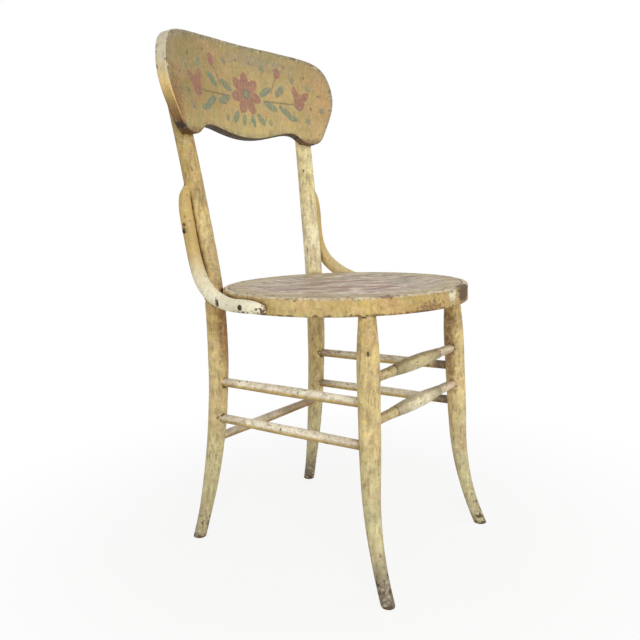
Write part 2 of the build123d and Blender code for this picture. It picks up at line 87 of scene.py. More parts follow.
class SIDECHAIR_PG_paint(bpy.types.PropertyGroup):
    ochre: swatch("Ochre", "Main colour of the old oil paint", "#ccae68")
    cream: swatch("Cream", "The paler paint where it was rubbed or touched up", "#ece3c6")
    yellow: swatch("Yellow", "The brighter, less dirty yellow of the paint", "#e3cf92")
    olive: swatch("Olive", "The paint where it has darkened with age", "#8d773a")
    foot: swatch("Foot paint", "The greener, bleached paint low on the legs", "#cbc597")
    dust: swatch("Dust", "Pinkish tan specks all over the paint", "#b98f70")
    # Grime also tints the painted shade in the hollows, and Seams the painted shade in the deepest hollows and
    # joints.
    grime_and_shade: swatch("Grime", "Orange brown dirt in corners and under edges", "#7a4f20")
    seam: swatch("Seams", "Old dirt packed into the joints", "#3d2b12")
    scuffed: swatch("Scuffed feet", "Grey brown of the trodden feet", "#766956")
    bare: swatch("Bare wood", "Dirty wood where the paint is gone", "#5a4432")
    fleck_size: FloatProperty(name="Fleck size", description="Width of the pale and dark flecks in the paint",
                              default=0.0045, min=0.001, max=0.02, unit="LENGTH")
    chip_size: FloatProperty(name="Chip size", description="Width of a chip in the paint", default=0.009,
                             min=0.001, max=0.03, unit="LENGTH")
    foot_wear: FloatProperty(name="Foot wear", description="Height up to which the feet are scuffed",
                             default=0.095, min=0, max=0.2, unit="LENGTH")


class SIDECHAIR_PG_stencil(bpy.types.PropertyGroup):
    red: swatch("Red", "Dull brick red of the flowers", "#905350")
    green: swatch("Green", "Grey green of the leaves", "#5d7a66")
    ink: swatch("Ink", "Dark dots and stems", "#48443a")
    height: FloatProperty(name="Height", description="Centre of the pattern above the rail's lowest point",
                          default=0.086, min=0.02, max=0.15, unit="LENGTH")
    strength: FloatProperty(name="Strength", description="How much of the stencil colour is left", default=0.80,
                            min=0, max=1, subtype="FACTOR")


class SIDECHAIR_PG_seat(bpy.types.PropertyGroup):
    tan: swatch("Tan", "Main worn colour of the seat", "#d6c6ae")
    brown: swatch("Brown", "Older paint that shows in streaks", "#6c5646")
    pale: swatch("Pale", "Rubbed streaks", "#f1e9dc")
    red: swatch("Red", "Traces of an earlier red coat", "#9a5753")
    olive: swatch("Olive", "The less worn border", "#b09c62")
    streak: FloatProperty(name="Streak", description="Width of a streak in the worn paint", default=0.016,
                          min=0.005, max=0.2, unit="LENGTH")


class SIDECHAIR_PG_brads(bpy.types.PropertyGroup):
    count: IntProperty(name="Count", description="How many brads hold the seat panel", default=20, min=4, max=60)
    circle: FloatProperty(name="Circle", description="Radius of the circle that the brads stand on", default=0.1885,
                          min=0.05, max=0.3, unit="LENGTH")
    head: FloatProperty(name="Head", description="Width of a brad's head", default=0.0034, min=0.001, max=0.01,
                        unit="LENGTH")


class SIDECHAIR_PG_studio(bpy.types.PropertyGroup):
    floor: swatch("Floor", "Colour of the floor and backdrop", "#f6f5f2")
    sky: FloatProperty(name="Sky", description="Strength of the even light from all round", default=0.50,
                       min=0, max=4)
    key: FloatProperty(name="Key lamp", description="Power of the large soft lamp at the left", default=46.0,
                       min=0, max=1000, unit="POWER")
    fill: FloatProperty(name="Fill lamp", description="Power of the soft lamp at the right", default=12.0,
                        min=0, max=1000, unit="POWER")
    lens: FloatProperty(name="Lens", description="Focal length of the camera", default=38.24, min=10, max=200,
                        unit="CAMERA")


# ---- Patterns that several finishes share ----
def blotches(tree, place, size, low, high, detail=4.0, seed=0.0):
    """Soft-edged blotches of about a size in millimetres. Low and high set how many there are and how sharp."""
    noise = add(tree, "ShaderNodeTexNoise", {"Vector": place, "W": seed, "Scale": 1000 / size, "Detail": detail,
                                             "Roughness": 0.55}, noise_dimensions="4D")
    return add(tree, "ShaderNodeMapRange", {"Value": noise, "From Min": low, "From Max": high},
               interpolation_type="SMOOTHSTEP")


def fade(tree, place, run, start, end):
    """0 to 1 along a direction, between two distances in metres."""
    distance = add(tree, "ShaderNodeVectorMath", {0: place, 1: run}, out="Value", operation="DOT_PRODUCT")
    return add(tree, "ShaderNodeMapRange", {"Value": distance, "From Min": start, "From Max": end},
               interpolation_type="SMOOTHSTEP")


def oval(tree, place, centre, radii, turn=(0, 0, 0)):
    """Below 1 inside an egg shape with its centre and radii in millimetres, turned by degrees."""
    own = add(tree, "ShaderNodeMapping", {
        "Vector": place, "Location": [part / 1000 for part in centre], "Rotation": [radians(part) for part in turn],
        "Scale": [part / 1000 for part in radii]}, vector_type="TEXTURE")
    return add(tree, "ShaderNodeVectorMath", {0: own}, out="Value", operation="LENGTH")


def patch(tree, place, centre, radii, turn=(0, 0, 0), grain=7.0, ragged=1.6, soft=0.25):
    """A ragged worn patch about a point of the piece, with its radii in millimetres."""
    distance = oval(tree, place, centre, radii, turn)
    noise = add(tree, "ShaderNodeTexNoise", {"Vector": place, "Scale": 1000 / grain, "Detail": 5.0})
    frayed = add(tree, "ShaderNodeMath", {0: noise, 1: ragged, 2: distance}, operation="MULTIPLY_ADD")
    rim = 0.95 + ragged / 2
    return add(tree, "ShaderNodeMapRange", {"Value": frayed, "From Min": rim, "From Max": rim - soft})


def worn_edges(tree, radius, flat, sharp):
    """How near the surface is to an outer edge, from 0 on a flat to 1 on an edge.

    Flat and sharp are the openness inside the piece that counts as each.
    """
    depth = add(tree, "ShaderNodeAmbientOcclusion", {"Distance": radius}, out="AO", samples=8, inside=True)
    return add(tree, "ShaderNodeMapRange", {"Value": depth, "From Min": flat, "From Max": sharp})


def brush_over(tree, under, over, where, strength=1.0):
    """One colour laid over another where a mask says, with 1 as a covering coat and less as a thin one."""
    thinned = add(tree, "ShaderNodeMath", {0: where, 1: strength}, operation="MULTIPLY", use_clamp=True)
    return add(tree, "ShaderNodeMix", {0: thinned, 6: under, 7: over}, out=2, data_type="RGBA")


def both(tree, first, second):
    """The share of two masks that overlaps."""
    return add(tree, "ShaderNodeMath", {0: first, 1: second}, operation="MULTIPLY", use_clamp=True)


def new_finish(name):
    """An empty node material and its Object coordinates."""
    finish = bpy.data.materials.new(name)
    finish.use_nodes = True
    finish.node_tree.nodes.clear()
    place = add(finish.node_tree, "ShaderNodeTexCoord", out="Object")
    return finish, finish.node_tree, place


def weathered(tree, place, coat, run, paint, bare_spots=None, edge_wear=1.0, chips=0.66, corner_painted_shade=1.0,
              uneven=1.0, flecked=1.0, feet=None):
    """Old brushed oil paint over wood: flecks, brush streaks, painted shade in the corners, chips down to the wood.
    """
    drawn_out = add(tree, "ShaderNodeMapping", {"Vector": place, "Scale": run}, vector_type="POINT")
    fleck = paint.fleck_size * 1000
    # Clouds 38 mm wide, brush streaks of 5 to 6.5 mm along the run, and flecks as wide as the setting says.
    mottle = blotches(tree, place, 12.0, 0.42, 0.60, seed=1.3)
    clouds = blotches(tree, place, 38.0, 0.40, 0.62, seed=7.7)
    dark_streaks = blotches(tree, drawn_out, 5.0, 0.48, 0.66, seed=2.2)
    pale_streaks = blotches(tree, drawn_out, 6.5, 0.48, 0.66, seed=3.1)
    pale_flecks = blotches(tree, place, fleck, 0.50, 0.68, seed=4.1)
    dusty_flecks = blotches(tree, place, fleck * 1.2, 0.50, 0.68, seed=5.2)
    pits = blotches(tree, drawn_out, fleck, 0.60, 0.69, seed=6.4)
    # The patterns darken more than they lighten, so the tone starts a little above 1.
    tone = 1.05
    for pattern, change in ((clouds, 0.22), (mottle, -0.11), (dark_streaks, -0.24), (pale_streaks, 0.22),
                            (dusty_flecks, -0.12)):
        tone = add(tree, "ShaderNodeMath", {0: pattern, 1: change * uneven, 2: tone}, operation="MULTIPLY_ADD")
    shade = add(tree, "ShaderNodeVectorMath", {0: coat, "Scale": tone}, operation="SCALE")
    rosy = blotches(tree, place, 22.0, 0.48, 0.62, seed=9.3)
    greenish = blotches(tree, place, 26.0, 0.48, 0.62, seed=10.4)
    shade = brush_over(tree, shade, paint.dust, rosy, 0.34 * uneven)
    shade = brush_over(tree, shade, paint.olive, greenish, 0.18 * uneven)
    shade = brush_over(tree, shade, paint.olive, dark_streaks, 0.30 * uneven)
    shade = brush_over(tree, shade, paint.dust, dusty_flecks, 0.24 * flecked)
    shade = brush_over(tree, shade, paint.cream, pale_flecks, 0.34 * flecked)
    shade = brush_over(tree, shade, paint.grime_and_shade, pits, 0.70 * flecked)
    # Painted shade in the hollows and between parts, tinted and made patchy like dirt.
    open_air = add(tree, "ShaderNodeAmbientOcclusion", {"Distance": 0.020}, out="AO", samples=8)
    hollow_shade = add(tree, "ShaderNodeMapRange", {"Value": open_air, "From Min": 0.80, "From Max": 0.35})
    patchy = add(tree, "ShaderNodeMapRange", {"Value": mottle, "To Min": 0.65, "To Max": 1.0})
    shade = brush_over(tree, shade, paint.grime_and_shade, both(tree, hollow_shade, patchy), corner_painted_shade)
    # Painted shade, near black-brown, in the deepest hollows and joints.
    seam = add(tree, "ShaderNodeMapRange", {"Value": open_air, "From Min": 0.46, "From Max": 0.18})
    shade = brush_over(tree, shade, paint.seam, seam, 0.90 * corner_painted_shade)
    # Chips: rare on the flats, common on the edges and at the feet.
    edges = worn_edges(tree, 0.006, 0.95, 0.70)
    flakes = add(tree, "ShaderNodeTexNoise", {"Vector": place, "W": 5.5, "Scale": 1 / paint.chip_size, "Detail": 6.0,
                                              "Roughness": 0.6}, noise_dimensions="4D")
    likely = add(tree, "ShaderNodeMath", {0: edges, 1: 0.12 * edge_wear, 2: flakes}, operation="MULTIPLY_ADD")
    if feet is not None:
        low = fade(tree, place, (0, 0, -1), -paint.foot_wear, -0.01)
        shade = brush_over(tree, shade, paint.scuffed, both(tree, low, feet), 0.95)
        scuffs = blotches(tree, place, fleck * 1.3, 0.50, 0.64, seed=8.3)
        shade = brush_over(tree, shade, paint.cream, both(tree, low, scuffs), 0.45)
        likely = add(tree, "ShaderNodeMath", {0: low, 1: 0.10, 2: likely}, operation="MULTIPLY_ADD")
    chipped = add(tree, "ShaderNodeMapRange", {"Value": likely, "From Min": chips, "From Max": chips + 0.03})
    if bare_spots is not None:
        chipped = add(tree, "ShaderNodeMath", {0: chipped, 1: bare_spots}, operation="MAXIMUM")
    wood = brush_over(tree, paint.bare, paint.dust, dark_streaks, 0.30)
    shade = brush_over(tree, shade, wood, chipped, 0.92)
    # The relief is at most half a millimetre, and a chip's edge catches the light.
    relief = add(tree, "ShaderNodeMath", {0: pale_flecks, 1: 0.30, 2: dark_streaks}, operation="MULTIPLY_ADD")
    relief = add(tree, "ShaderNodeMath", {0: chipped, 1: -1.6, 2: relief}, operation="MULTIPLY_ADD")
    bumped = add(tree, "ShaderNodeBump", {"Strength": 0.8, "Distance": 0.0005, "Height": relief})
    gloss = add(tree, "ShaderNodeMapRange", {"Value": chipped, "To Min": 0.50, "To Max": 0.88})
    surface = add(tree, "ShaderNodeBsdfPrincipled", {"Base Color": shade, "Roughness": gloss, "Normal": bumped})
    add(tree, "ShaderNodeOutputMaterial", {"Surface": surface})


def dress(names, finish):
    """Puts a finish on CAD nodes, whose shape stays as it is."""
    for name in names:
        for slot in NODES[name].material_slots:
            slot.material = finish


def pair(name):
    return [name + "_left", name + "_right"]


# ---- The finishes ----
POST_PAINTED_LIGHT_LOW = colour("#fff7cc")
POST_PAINTED_LIGHT_HIGH = colour("#ecdfa6")
CRACKED_ORANGE = colour("#a8641c")
CORNER_BROWN = colour("#6e5322")


def leg_paint(paint):
    """Brushed oil paint on bent beech: darker and olive high up, greener and bleached near the floor."""
    finish, tree, place = new_finish("brushed_oil_paint_on_bent_beech")
    high = fade(tree, place, (0, 0, 1), 0.50, 0.76)
    low = fade(tree, place, (0, 0, -1), -0.30, -0.10)
    left_post = both(tree, fade(tree, place, (1, 0, 0), 0.05, 0.10), fade(tree, place, (0, 0, 1), 0.42, 0.48))
    bright = both(tree, fade(tree, place, (0, 0, 1), 0.10, 0.22), fade(tree, place, (0, 0, -1), -0.64, -0.54))
    dim = both(tree, fade(tree, place, (0, 0, 1), 0.35, 0.39), fade(tree, place, (0, 0, -1), -0.47, -0.43))
    coat = brush_over(tree, paint.ochre, paint.yellow, bright, 0.65)
    coat = brush_over(tree, coat, paint.ochre, dim, 0.75)
    coat = brush_over(tree, coat, paint.olive, high, 0.60)
    # Painted light: the left post is made paler, as if more strongly lit.
    paler = brush_over(tree, POST_PAINTED_LIGHT_LOW, POST_PAINTED_LIGHT_HIGH, fade(tree, place, (0, 0, 1), 0.52, 0.62))
    coat = brush_over(tree, coat, paler, left_post, 0.80)
    coat = brush_over(tree, coat, paint.foot, low, 0.85)
    # Orange dirt with cracks down the inner side of the right rear leg, a brown corner above it, a darkened inner
    # back of the left front leg under the seat, partly dirt and partly painted shade, and a knock on the right front
    # leg.
    cracks_run = add(tree, "ShaderNodeMapping", {"Vector": place, "Scale": (1.0, 1.0, 0.05)}, vector_type="POINT")
    cracks = blotches(tree, cracks_run, 5.0, 0.46, 0.58, seed=20.0)
    cracked = patch(tree, place, (-133, 134, 380), (26, 26, 105), ragged=0.8, soft=0.7)
    coat = brush_over(tree, coat, CRACKED_ORANGE, cracked, 0.75)
    corner = patch(tree, place, (-143, 141, 460), (18, 14, 20), grain=9.0, ragged=1.4, soft=0.7)
    coat = brush_over(tree, coat, CORNER_BROWN, corner, 0.60)
    coat = brush_over(tree, coat, paint.grime_and_shade, both(tree, cracked, cracks), 0.75)
    # Partly dirt, partly painted shade under the seat on the left front leg.
    dirty = patch(tree, place, (118, -148, 345), (18, 24, 120), grain=12.0, ragged=1.8, soft=0.6)
    coat = brush_over(tree, coat, paint.grime_and_shade, dirty, 0.85)
    knock = patch(tree, place, (-152.5, -159.7, 370), (2.6, 2.6, 5), grain=5.0, ragged=0.9)
    # The right front foot and the left rear foot are trodden most.
    trodden = add(tree, "ShaderNodeMath", {0: oval(tree, place, (-167, -190, 0), (90, 90, 130)),
                                           1: oval(tree, place, (150, 189, 0), (90, 90, 105))}, operation="MINIMUM")
    feet = add(tree, "ShaderNodeMapRange", {"Value": trodden, "From Min": 1.2, "From Max": 0.7, "To Min": 0.35})
    weathered(tree, place, coat, (1.0, 1.0, 0.24), paint, bare_spots=knock, feet=feet)
    return finish


DOWEL_PAINTED_HIGHLIGHT = colour("#fdf6de")


def stretcher_paint(name, run, paint):
    """The same paint on turned dowels: a painted highlight on top, painted shade in olive below, and dirty by the
    legs.
    """
    finish, tree, place = new_finish(name)
    normal = add(tree, "ShaderNodeNewGeometry", out="Normal")
    # Painted highlight on the faces that look up and painted shade on those that look down.
    coat = brush_over(tree, paint.ochre, DOWEL_PAINTED_HIGHLIGHT, fade(tree, normal, (0, 0, 1), -0.35, 0.45))
    coat = brush_over(tree, coat, paint.olive, fade(tree, normal, (0, 0, -1), 0.2, 0.9), 0.60)
    split = add(tree, "ShaderNodeSeparateXYZ", {0: place}).node
    along = add(tree, "ShaderNodeMath", {0: split.outputs["Y"]}, operation="ABSOLUTE")
    by_leg = add(tree, "ShaderNodeMapRange", {"Value": along, "From Min": 0.100, "From Max": 0.140})
    # The left side is dirtier by the legs than the right.
    left = add(tree, "ShaderNodeMapRange", {"Value": split.outputs["X"], "From Min": 0, "From Max": 0.05,
                                            "To Min": 0.45, "To Max": 1.0})
    coat = brush_over(tree, coat, paint.grime_and_shade, both(tree, by_leg, left), 0.70)
    # Its dowels are darkest where they enter the front leg.
    left_front = both(tree, fade(tree, place, (1, 0, 0), 0, 0.05), fade(tree, place, (0, -1, 0), 0.108, 0.122))
    coat = brush_over(tree, coat, paint.seam, left_front, 0.70)
    weathered(tree, place, coat, run, paint, chips=0.65, uneven=0.75, flecked=0.9)
    return finish


BOBBIN_HALF = 0.0715  # from the chair's middle plane to a bobbin's shoulder, in metres
BOBBIN_UPPER = colour("#d6c894")
BOBBIN_LOWER = colour("#f2e9c4")
SHOULDER_OLIVE = colour("#6e6844")
SHOULDER_LINE = colour("#3f3a22")
TOP_PAINTED_SHADE = colour("#55502f")
END_TAN = colour("#c9b67f")
END_PINK = colour("#dccbae")


def bobbin_paint(paint):
    """Oil paint on the turned front dowels: dark at both ends of the bobbin and pale outside its beads."""
    finish, tree, place = new_finish("dull_oil_paint_on_turned_dowels")
    normal = add(tree, "ShaderNodeNewGeometry", out="Normal")
    across = add(tree, "ShaderNodeSeparateXYZ", {0: place}, out="X")
    aside = add(tree, "ShaderNodeMath", {0: across}, operation="ABSOLUTE")
    shoulder = add(tree, "ShaderNodeMapRange", {"Value": aside, "From Min": 0.015, "From Max": BOBBIN_HALF - 0.0055})
    beyond = add(tree, "ShaderNodeMapRange", {"Value": aside, "From Min": BOBBIN_HALF - 0.001,
                                              "From Max": BOBBIN_HALF + 0.0015})
    plain_ends = brush_over(tree, END_TAN, END_PINK, fade(tree, place, (1, 0, 0), -0.02, 0.02))
    # The lower bobbin is paler than the upper one.
    between = (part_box("front_stretcher_lower")[1].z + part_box("front_stretcher_upper")[0].z) / 2
    lower = fade(tree, place, (0, 0, -1), -between - 0.01, -between + 0.01)
    body = brush_over(tree, BOBBIN_UPPER, BOBBIN_LOWER, lower)
    coat = brush_over(tree, body, SHOULDER_OLIVE, shoulder, 0.66)
    coat = brush_over(tree, coat, plain_ends, beyond)
    # A dark line in the step at each shoulder.
    line = add(tree, "ShaderNodeMath", {0: aside, 1: BOBBIN_HALF - 0.0003, 2: 0.0013}, operation="COMPARE")
    coat = brush_over(tree, coat, SHOULDER_LINE, line, 0.60)
    # Painted shade in dark olive on the faces of the bobbins that look up.
    coat = brush_over(tree, coat, TOP_PAINTED_SHADE, fade(tree, normal, (0, 0, 1), 0.55, 0.95), 0.45)
    weathered(tree, place, coat, (0.45, 1.0, 1.0), paint, chips=0.65, uneven=0.75, flecked=1.1)
    return finish


RING_OCHRE = colour("#b89c5c")
RING_RUST = colour("#c98a52")
RING_MOSS = colour("#a5a05a")
RING_STAIN = colour("#8a6a5c")


def ring_paint(paint):
    """Thick oil paint on the bent seat ring: a pale rubbed upper edge, a chipped lower edge and a bare front."""
    finish, tree, place = new_finish("thick_oil_paint_on_bent_ring")
    normal = add(tree, "ShaderNodeNewGeometry", out="Normal")
    up = fade(tree, normal, (0, 0, 1), 0.25, 0.75)
    coat = brush_over(tree, paint.ochre, paint.yellow, blotches(tree, place, 26.0, 0.42, 0.60, seed=11.0), 0.50)
    # The paint is yellowest at the right, by the brace.
    coat = brush_over(tree, coat, RING_OCHRE, fade(tree, place, (1, 0, 0), -0.17, -0.08), 0.75)
    coat = brush_over(tree, coat, paint.cream, up, 0.75)
    rubbed = both(tree, up, blotches(tree, place, 7.0, 0.48, 0.62, seed=12.5))
    coat = brush_over(tree, coat, paint.dust, rubbed, 0.70)
    rusty = blotches(tree, place, 30.0, 0.50, 0.66, seed=17.0)
    coat = brush_over(tree, coat, RING_RUST, rusty, 0.40)
    mossy = blotches(tree, place, 24.0, 0.50, 0.64, seed=18.0)
    coat = brush_over(tree, coat, RING_MOSS, mossy, 0.35)
    # Dark spots and a pale knock beside the bare front, and a stain under the brace.
    spotted = patch(tree, place, (-62, -211, 428), (34, 20, 9), grain=5.0, ragged=3.5)
    coat = brush_over(tree, coat, paint.grime_and_shade, spotted, 0.70)
    pale = patch(tree, place, (-8, -220, 440), (12, 8, 11), grain=5.0, ragged=2.2)
    coat = brush_over(tree, coat, paint.cream, pale, 0.9)
    stained = patch(tree, place, (-127, -173, 451), (28, 24, 4), turn=(0, 0, -38), ragged=1.2)
    coat = brush_over(tree, coat, RING_STAIN, stained, 0.75)
    bare = patch(tree, place, (40, -216, 440), (40, 18, 18), ragged=1.1)
    weathered(tree, place, coat, (0.7, 0.7, 0.4), paint, bare_spots=bare, edge_wear=1.7, uneven=0.6, flecked=0.8)
    return finish


BRACE_CREAM = colour("#fff8d8")


def brace_paint(paint):
    """Oil paint on the bent braces, rubbed to cream where hands and coats passed and knocked at the tip."""
    finish, tree, place = new_finish("rubbed_oil_paint_on_bent_brace")
    rubbed = fade(tree, place, (0, 0, -1), -0.520, -0.440)
    handled = add(tree, "ShaderNodeMapRange", {"Value": fade(tree, place, (-1, 0, 0), -0.05, 0.05), "To Min": 0.25})
    coat = brush_over(tree, paint.ochre, BRACE_CREAM, both(tree, rubbed, handled))
    folded = add(tree, "ShaderNodeVectorMath", {0: place, 1: (-1, 1, 1)}, operation="MULTIPLY")
    # Knocks at the tip, along the lower edge by the screws and high on the outside, the same on both sides.
    knocks = None
    for side in (place, folded):
        for centre, radii, grain, ragged in (((-210, -15, 431), (10, 13, 6), 4.0, 4.5),
                                             ((-220, 18, 424), (10, 32, 4), 3.5, 4.5),
                                             ((-184, 170, 556), (5, 5, 4), 7.0, 1.0)):
            knock = patch(tree, side, centre, radii, grain=grain, ragged=ragged)
            if knocks is not None:
                knock = add(tree, "ShaderNodeMath", {0: knocks, 1: knock}, operation="MAXIMUM")
            knocks = knock
    weathered(tree, place, coat, (1.0, 1.0, 0.35), paint, bare_spots=knocks, corner_painted_shade=0.45,
              uneven=0.25, flecked=0.5)
    return finish


IRON_DARK = colour("#33291f")
IRON_CRUST = colour("#6e5a40")


def iron_finish(name):
    """Iron darkened by age, with paint left in the hollows, which gives dull brown-black heads."""
    finish, tree, place = new_finish(name)
    crust = blotches(tree, place, 2.5, 0.42, 0.60, seed=6.0)
    shade = brush_over(tree, IRON_DARK, IRON_CRUST, crust, 0.7)
    bumped = add(tree, "ShaderNodeBump", {"Strength": 0.6, "Distance": 0.0002, "Height": crust})
    surface = add(tree, "ShaderNodeBsdfPrincipled",
                  {"Base Color": shade, "Roughness": 0.62, "Metallic": 0.4, "Normal": bumped})
    add(tree, "ShaderNodeOutputMaterial", {"Surface": surface})
    return finish


def brad_tree(settings, finish):
    """Domed brad heads round a circle, with their count, circle, head and centre as inputs."""
    tree = bpy.data.node_groups.new("brads_round_the_seat", "GeometryNodeTree")
    sunk = 0.0003  # a head's middle lies this far under the top of the brads
    centre = (SEAT_MIDDLE.x, SEAT_MIDDLE.y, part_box("seat_brads")[1].z - sunk)
    for name, kind, value in (("Count", "NodeSocketInt", settings.count),
                              ("Circle", "NodeSocketFloat", settings.circle),
                              ("Head", "NodeSocketFloat", settings.head),
                              ("Centre", "NodeSocketVector", centre)):
        tree.interface.new_socket(name, in_out="INPUT", socket_type=kind).default_value = value
    tree.interface.new_socket("Geometry", in_out="OUTPUT", socket_type="NodeSocketGeometry")
    inputs = tree.nodes.new("NodeGroupInput").outputs
    circle = add(tree, "GeometryNodeMeshCircle", {"Vertices": inputs["Count"], "Radius": inputs["Circle"]})
    reach = add(tree, "ShaderNodeMath", {0: inputs["Head"], 1: 0.5}, operation="MULTIPLY")
    ball = add(tree, "GeometryNodeMeshUVSphere", {"Segments": 14, "Rings": 8, "Radius": reach})
    domed = add(tree, "GeometryNodeTransform", {"Geometry": ball, "Scale": (1.0, 1.0, 0.42)})
    brads = add(tree, "GeometryNodeInstanceOnPoints", {"Points": circle, "Instance": domed})
    placed = add(tree, "GeometryNodeTransform", {"Geometry": brads, "Translation": inputs["Centre"]})
    solid = add(tree, "GeometryNodeRealizeInstances", {"Geometry": placed})
    shaded = add(tree, "GeometryNodeSetShadeSmooth", {"Geometry": solid})
    dressed = add(tree, "GeometryNodeSetMaterial", {"Geometry": shaded, "Material": finish})
    add(tree, "NodeGroupOutput", {"Geometry": dressed})
    return tree


def plain_piece(name, tree):
    """The mesh that a tree of Geometry Nodes makes from its own inputs, as an object with no modifier."""
    piece = bpy.data.objects.new(name, bpy.data.meshes.new(name))
    bpy.context.scene.collection.objects.link(piece)
    modifier = piece.modifiers.new(name, "NODES")
    modifier.node_group = tree
    for item in tree.interface.items_tree:
        if item.in_out == "INPUT":
            modifier[item.identifier] = item.default_value
    depsgraph = bpy.context.evaluated_depsgraph_get()
    made = bpy.data.meshes.new_from_object(piece.evaluated_get(depsgraph), depsgraph=depsgraph)
    piece.modifiers.remove(modifier)
    piece.data = made
    made.name = name
    return piece


STENCIL_SHIFT = 0.004  # how far the pattern stands to the left of the rail's middle, as the sitter sees it
# The stencil's shapes on its right half, in millimetres from its centre: (x, z), (half width, half height), turn.
PETALS = [((21.0 * sin(radians(turn)), 21.0 * cos(radians(turn))), (10.5, 18.0), turn) for turn in (0, 51, 103, 154)]
HEART = [((0, 0), (9.0, 9.0), 0)]
BUDS = [((134, -3), (12.5, 17.0), 20), ((146, 7), (7.0, 15.0), 52), ((127, 12), (7.0, 15.0), -14),
        ((86, 47), (8.5, 10.5), 15)]
LEAVES = [((52, 9), (6.8, 17.0), 62), ((61, -16), (7.0, 18.0), 112), ((88, 14), (6.4, 16.0), 48),
          ((97, -23), (6.6, 17.0), 122), ((33, -43), (6.2, 14.0), 140), ((12, -47), (5.4, 11.0), 168),
          ((114, -35), (5.6, 13.0), 96)]
STEMS = [((88, -8), (1.9, 46.0), 90), ((76, 27), (1.7, 22.0), 28)]
DOTS = [((150, 45), (3.0, 3.0), 0), ((106, 60), (3.0, 3.0), 0), ((160, -14), (3.0, 3.0), 0),
        ((17, 57), (3.0, 3.0), 0), ((180, 12), (3.0, 3.0), 0)]
STARS = [(at, (2.2, 7.5), turn) for at in ((122, 37), (50, 50), (158, 24), (150, -38), (57, -47), (184, -16))
         for turn in (12, 72, 132)]


def stencilled(tree, place, coat, stencil):
    """A common traditional stencil: a flower between sprays of leaves, with buds, stars and dots round it."""
    centre = add(tree, "ShaderNodeVectorMath", {0: place, 1: (STENCIL_SHIFT, 0, RAIL_LOW.z + stencil.height)},
                 operation="SUBTRACT")
    wobble = add(tree, "ShaderNodeTexNoise", {"Vector": place, "Scale": 200.0, "Detail": 3.0}, out=1)
    ragged = add(tree, "ShaderNodeVectorMath", {0: wobble, 1: (0.0036, 0, 0.0036), 2: centre},
                 operation="MULTIPLY_ADD")
    split = add(tree, "ShaderNodeSeparateXYZ", {0: ragged}).node
    folded = add(tree, "ShaderNodeMath", {0: split.outputs["X"]}, operation="ABSOLUTE")
    face = add(tree, "ShaderNodeCombineXYZ", {"X": folded, "Z": split.outputs["Z"]})
    worn = blotches(tree, place, 5.0, 0.66, 0.42, seed=8.8)
    left = add(tree, "ShaderNodeMapRange", {"Value": worn, "To Min": 0.70, "To Max": 1.0})
    shade = coat
    for shapes, tint, share in ((LEAVES, stencil.green, 1.0), (STARS, stencil.green, 0.85), (STEMS, stencil.ink, 0.7),
                                (PETALS, stencil.red, 1.0), (BUDS, stencil.red, 1.0), (DOTS, stencil.ink, 0.85),
                                (HEART, stencil.green, 1.0)):
        nearest = None
        for (x, z), (wide, high), turn in shapes:
            shape = oval(tree, face, (x, 0, z), (wide, 1e6, high), (0, turn, 0))
            if nearest is not None:
                shape = add(tree, "ShaderNodeMath", {0: nearest, 1: shape}, operation="MINIMUM")
            nearest = shape
        inside = add(tree, "ShaderNodeMapRange", {"Value": nearest, "From Min": 1.06, "From Max": 0.92})
        shade = brush_over(tree, shade, tint, both(tree, inside, left), stencil.strength * share)
    front = fade(tree, add(tree, "ShaderNodeNewGeometry", out="Normal"), (0, -1, 0), 0.55, 0.75)
    return brush_over(tree, coat, shade, front)


RAIL_MIDDLE = colour("#bda565")
RAIL_RIGHT = colour("#8f763a")
RAIL_LEFT = colour("#b28e58")
RAIL_TOP = colour("#8b7747")
RAIL_BOTTOM = colour("#d2bd78")
RAIL_ROSY = colour("#c99a72")
RAIL_GREENISH = colour("#96945a")
RIM_UNDERCOAT = colour("#84866c")
RIM_DIRT = colour("#45402e")
SCRAPED_GREY = colour("#8f8a74")
BURNT_ORANGE = colour("#b4752b")
STAIN_BROWN = colour("#6d4418")
SAWN_YELLOW = colour("#edca7a")
SAWN_WHITE = colour("#cbc4aa")
SAWN_ORANGE = colour("#cc8d3e")
UNDERSIDE_DIRT_AND_SHADE = colour("#38230c")


